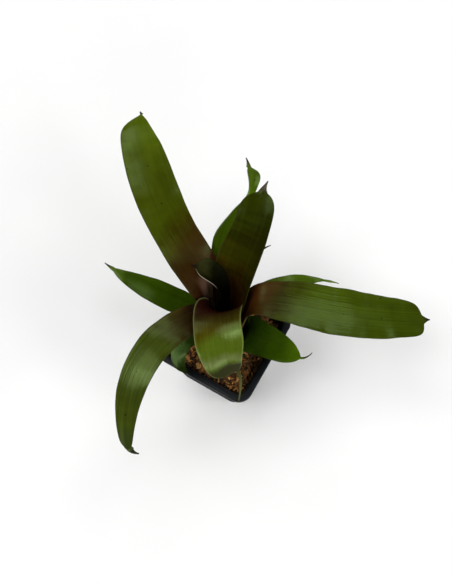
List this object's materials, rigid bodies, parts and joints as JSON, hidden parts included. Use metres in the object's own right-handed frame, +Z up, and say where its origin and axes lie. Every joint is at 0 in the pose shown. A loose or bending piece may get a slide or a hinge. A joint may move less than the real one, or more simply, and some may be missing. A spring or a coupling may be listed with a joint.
{
  "type": "potted bromeliad",
  "caption": "Small rosette bromeliad with arching strap leaves around a water-holding funnel, standing in a tapered square nursery pot filled with bark chips.",
  "frame": {"origin": "middle of the pot's flat underside", "axes": "+Z up along the pot; X and Y square to the pot's sides"},
  "size_m": [0.2188, 0.1786, 0.1527],
  "materials": {
    "pot": "satin dark charcoal moulded plastic",
    "growing_medium": "rough damp bark chips, orange brown",
    "stem": "dry brown crown tissue",
    "leaf": "waxy olive green leaf, red brown towards the base, glossy above"
  },
  "bodies": {
    "root": {"pot": "pot", "growing_medium": "growing_medium", "stem": "stem", "leaf_01_rolled_centre": "leaf", "leaf_02_upright_back": "leaf", "leaf_03_front_lip": "leaf", "leaf_04_long_back_left": "leaf", "leaf_05_long_right": "leaf", "leaf_06_arching_front_left": "leaf", "leaf_07_pinched_back": "leaf", "leaf_08_pointed_left": "leaf", "leaf_09_narrow_back_right": "leaf", "leaf_10_broad_front_right": "leaf", "leaf_11_short_back": "leaf", "leaf_12_small_front": "leaf"}
  },
  "joints": []
}
